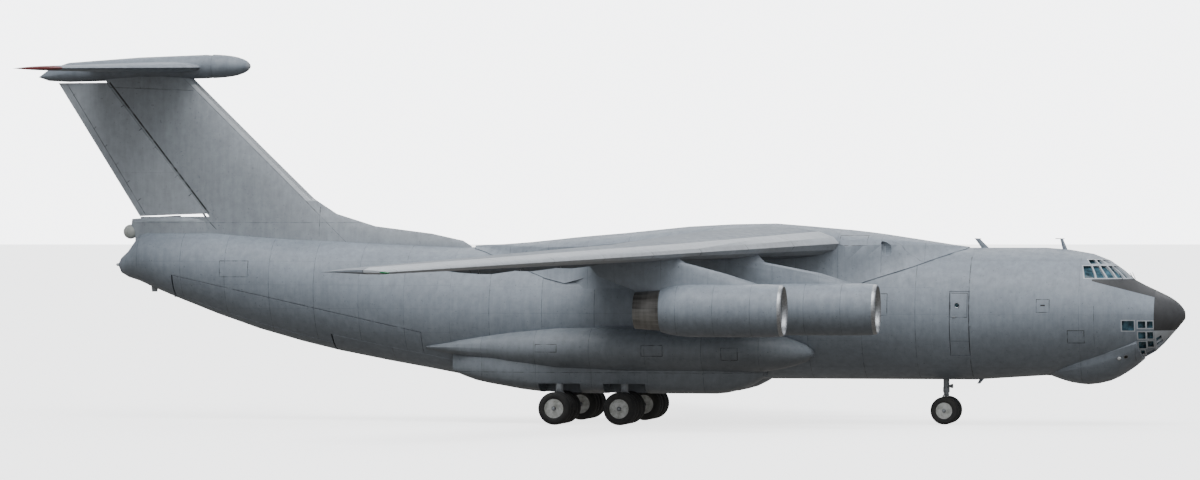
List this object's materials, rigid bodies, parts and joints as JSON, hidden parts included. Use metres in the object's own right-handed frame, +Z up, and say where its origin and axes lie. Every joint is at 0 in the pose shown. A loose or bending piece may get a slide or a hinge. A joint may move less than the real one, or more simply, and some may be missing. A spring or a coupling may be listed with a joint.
{
  "type": "scale model of a military transport plane, half size",
  "caption": "Half-size model of a high-winged jet transport standing on its gear, with turning wheels and fans, opening ramp and doors, and moving control surfaces.",
  "frame": {"origin": "on the ground under the middle of the aircraft's bounding box", "axes": "+X towards the nose, +Y towards the aircraft's left wing tip, +Z up"},
  "size_m": [23.3, 25.24, 7.3853],
  "materials": {
    "grey_paint": "satin",
    "dark_radome": "matt",
    "glass": "gloss",
    "steel": "brushed",
    "rubber": "matt",
    "floor": "matt"
  },
  "bodies": {
    "airframe": {"nose_radome": "dark_radome", "nose_section": "grey_paint", "chin_radome": "grey_paint", "flight_deck_glass": "glass", "navigator_glass": "glass", "centre_section": "grey_paint", "cargo_floor": "floor", "tail_section": "grey_paint", "tail_cap": "grey_paint", "wing_centre_fairing": "grey_paint", "fin": "grey_paint", "tailplane": "grey_paint", "nose_leg": "grey_paint", "wing_left": "grey_paint", "gear_fairing_left": "grey_paint", "main_leg_front_left": "grey_paint", "main_leg_rear_left": "grey_paint", "nacelle_inner_left": "grey_paint", "nacelle_outer_left": "grey_paint", "pylon_inner_left": "grey_paint", "pylon_outer_left": "grey_paint", "wing_right": "grey_paint", "gear_fairing_right": "grey_paint", "main_leg_front_right": "grey_paint", "main_leg_rear_right": "grey_paint", "nacelle_inner_right": "grey_paint", "nacelle_outer_right": "grey_paint", "pylon_inner_right": "grey_paint", "pylon_outer_right": "grey_paint"},
    "nose_steering": {"nose_steering_strut": "steel"},
    "nose_wheels_left": {"nose_wheels_left": "rubber"},
    "main_wheels_front_inboard_left": {"main_wheels_front_inboard_left": "rubber"},
    "main_wheels_front_outboard_left": {"main_wheels_front_outboard_left": "rubber"},
    "main_wheels_rear_inboard_left": {"main_wheels_rear_inboard_left": "rubber"},
    "main_wheels_rear_outboard_left": {"main_wheels_rear_outboard_left": "rubber"},
    "fan_inner_left": {"fan_inner_left": "steel"},
    "fan_outer_left": {"fan_outer_left": "steel"},
    "entrance_door_left": {"entrance_door_left": "grey_paint"},
    "cargo_side_door_left": {"cargo_side_door_left": "grey_paint"},
    "flap_inner_left": {"flap_inner_left": "grey_paint"},
    "flap_outer_left": {"flap_outer_left": "grey_paint"},
    "aileron_left": {"aileron_left": "grey_paint"},
    "elevator_left": {"elevator_left": "grey_paint"},
    "nose_wheels_right": {"nose_wheels_right": "rubber"},
    "main_wheels_front_inboard_right": {"main_wheels_front_inboard_right": "rubber"},
    "main_wheels_front_outboard_right": {"main_wheels_front_outboard_right": "rubber"},
    "main_wheels_rear_inboard_right": {"main_wheels_rear_inboard_right": "rubber"},
    "main_wheels_rear_outboard_right": {"main_wheels_rear_outboard_right": "rubber"},
    "fan_inner_right": {"fan_inner_right": "steel"},
    "fan_outer_right": {"fan_outer_right": "steel"},
    "entrance_door_right": {"entrance_door_right": "grey_paint"},
    "cargo_side_door_right": {"cargo_side_door_right": "grey_paint"},
    "flap_inner_right": {"flap_inner_right": "grey_paint"},
    "flap_outer_right": {"flap_outer_right": "grey_paint"},
    "aileron_right": {"aileron_right": "grey_paint"},
    "elevator_right": {"elevator_right": "grey_paint"},
    "cargo_ramp": {"cargo_ramp": "grey_paint"},
    "cargo_centre_door": {"cargo_centre_door": "grey_paint"},
    "rudder": {"rudder": "grey_paint"}
  },
  "joints": [
    {"name": "nose_steer", "type": "hinge", "parent": "airframe", "child": "nose_steering", "pos_m": [6.95, 0, 0.62], "axis": [0, 0, 1], "range_deg": [-50, 50]},
    {"name": "nose_wheels_left_spin", "type": "hinge", "parent": "nose_steering", "child": "nose_wheels_left", "pos_m": [6.95, 0.075, 0.275], "axis": [0, 1, 0], "continuous": true},
    {"name": "main_wheels_front_inboard_left_spin", "type": "hinge", "parent": "airframe", "child": "main_wheels_front_inboard_left", "pos_m": [0.75, 1.313, 0.325], "axis": [0, 1, 0], "continuous": true},
    {"name": "main_wheels_front_outboard_left_spin", "type": "hinge", "parent": "airframe", "child": "main_wheels_front_outboard_left", "pos_m": [0.75, 1.487, 0.325], "axis": [0, 1, 0], "continuous": true},
    {"name": "main_wheels_rear_inboard_left_spin", "type": "hinge", "parent": "airframe", "child": "main_wheels_rear_inboard_left", "pos_m": [-0.55, 1.313, 0.325], "axis": [0, 1, 0], "continuous": true},
    {"name": "main_wheels_rear_outboard_left_spin", "type": "hinge", "parent": "airframe", "child": "main_wheels_rear_outboard_left", "pos_m": [-0.55, 1.487, 0.325], "axis": [0, 1, 0], "continuous": true},
    {"name": "fan_inner_left_spin", "type": "hinge", "parent": "airframe", "child": "fan_inner_left", "pos_m": [5.58, 3.175, 2.3], "axis": [1, 0, 0], "continuous": true},
    {"name": "fan_outer_left_spin", "type": "hinge", "parent": "airframe", "child": "fan_outer_left", "pos_m": [4.08, 5.3, 2.3], "axis": [1, 0, 0], "continuous": true},
    {"name": "entrance_door_left_swing", "type": "hinge", "parent": "airframe", "child": "entrance_door_left", "pos_m": [7.53, 1.305, 2], "axis": [0, 0, -1], "range_deg": [0, 110]},
    {"name": "cargo_side_door_left_swing", "type": "hinge", "parent": "airframe", "child": "cargo_side_door_left", "pos_m": [-3.4, 1.2012, 1.8], "axis": [0.9722, 0.1085, -0.2073], "range_deg": [0, 75]},
    {"name": "flap_inner_left_turn", "type": "hinge", "parent": "airframe", "child": "flap_inner_left", "pos_m": [1.25326, 1.52, 3.16194], "axis": [0.1707, -0.985, 0.0251], "range_deg": [0, 43]},
    {"name": "flap_outer_left_turn", "type": "hinge", "parent": "airframe", "child": "flap_outer_left", "pos_m": [0.6066, 5.05, 3.11937], "axis": [0.3644, -0.9306, 0.0336], "range_deg": [0, 43]},
    {"name": "aileron_left_turn", "type": "hinge", "parent": "airframe", "child": "aileron_left", "pos_m": [-0.99512, 9.15, 3.22096], "axis": [0.3643, -0.9305, 0.0379], "range_deg": [-28, 16]},
    {"name": "elevator_left_turn", "type": "hinge", "parent": "airframe", "child": "elevator_left", "pos_m": [-9.89646, 0.42, 7.11566], "axis": [0.2133, -0.9764, 0.0333], "range_deg": [-21, 15]},
    {"name": "nose_wheels_right_spin", "type": "hinge", "parent": "nose_steering", "child": "nose_wheels_right", "pos_m": [6.95, -0.075, 0.275], "axis": [0, 1, 0], "continuous": true},
    {"name": "main_wheels_front_inboard_right_spin", "type": "hinge", "parent": "airframe", "child": "main_wheels_front_inboard_right", "pos_m": [0.75, -1.313, 0.325], "axis": [0, 1, 0], "continuous": true},
    {"name": "main_wheels_front_outboard_right_spin", "type": "hinge", "parent": "airframe", "child": "main_wheels_front_outboard_right", "pos_m": [0.75, -1.487, 0.325], "axis": [0, 1, 0], "continuous": true},
    {"name": "main_wheels_rear_inboard_right_spin", "type": "hinge", "parent": "airframe", "child": "main_wheels_rear_inboard_right", "pos_m": [-0.55, -1.313, 0.325], "axis": [0, 1, 0], "continuous": true},
    {"name": "main_wheels_rear_outboard_right_spin", "type": "hinge", "parent": "airframe", "child": "main_wheels_rear_outboard_right", "pos_m": [-0.55, -1.487, 0.325], "axis": [0, 1, 0], "continuous": true},
    {"name": "fan_inner_right_spin", "type": "hinge", "parent": "airframe", "child": "fan_inner_right", "pos_m": [5.58, -3.175, 2.3], "axis": [1, 0, 0], "continuous": true},
    {"name": "fan_outer_right_spin", "type": "hinge", "parent": "airframe", "child": "fan_outer_right", "pos_m": [4.08, -5.3, 2.3], "axis": [1, 0, 0], "continuous": true},
    {"name": "entrance_door_right_swing", "type": "hinge", "parent": "airframe", "child": "entrance_door_right", "pos_m": [7.53, -1.305, 2], "axis": [0, 0, 1], "range_deg": [0, 110]},
    {"name": "cargo_side_door_right_swing", "type": "hinge", "parent": "airframe", "child": "cargo_side_door_right", "pos_m": [-3.4, -1.2012, 1.8], "axis": [-0.9722, 0.1085, 0.2073], "range_deg": [0, 75]},
    {"name": "flap_inner_right_turn", "type": "hinge", "parent": "airframe", "child": "flap_inner_right", "pos_m": [1.25326, -1.52, 3.16194], "axis": [-0.1707, -0.985, -0.0251], "range_deg": [0, 43]},
    {"name": "flap_outer_right_turn", "type": "hinge", "parent": "airframe", "child": "flap_outer_right", "pos_m": [0.6066, -5.05, 3.11937], "axis": [-0.3644, -0.9306, -0.0336], "range_deg": [0, 43]},
    {"name": "aileron_right_turn", "type": "hinge", "parent": "airframe", "child": "aileron_right", "pos_m": [-0.99512, -9.15, 3.22096], "axis": [-0.3643, -0.9305, -0.0379], "range_deg": [-28, 16]},
    {"name": "elevator_right_turn", "type": "hinge", "parent": "airframe", "child": "elevator_right", "pos_m": [-9.89646, -0.42, 7.11566], "axis": [-0.2133, -0.9764, -0.0333], "range_deg": [-21, 15]},
    {"name": "cargo_ramp_swing", "type": "hinge", "parent": "airframe", "child": "cargo_ramp", "pos_m": [-2.812, 0, 0.94094], "axis": [0, -1, 0], "range_deg": [0, 31]},
    {"name": "cargo_centre_door_swing", "type": "hinge", "parent": "airframe", "child": "cargo_centre_door", "pos_m": [-8.67, 0, 2.60869], "axis": [0, -1, 0], "range_deg": [0, 30]},
    {"name": "rudder_turn", "type": "hinge", "parent": "airframe", "child": "rudder", "pos_m": [-8.13, 0, 4.1], "axis": [-0.6154, 0, 0.7882], "range_deg": [-28, 28]}
  ]
}
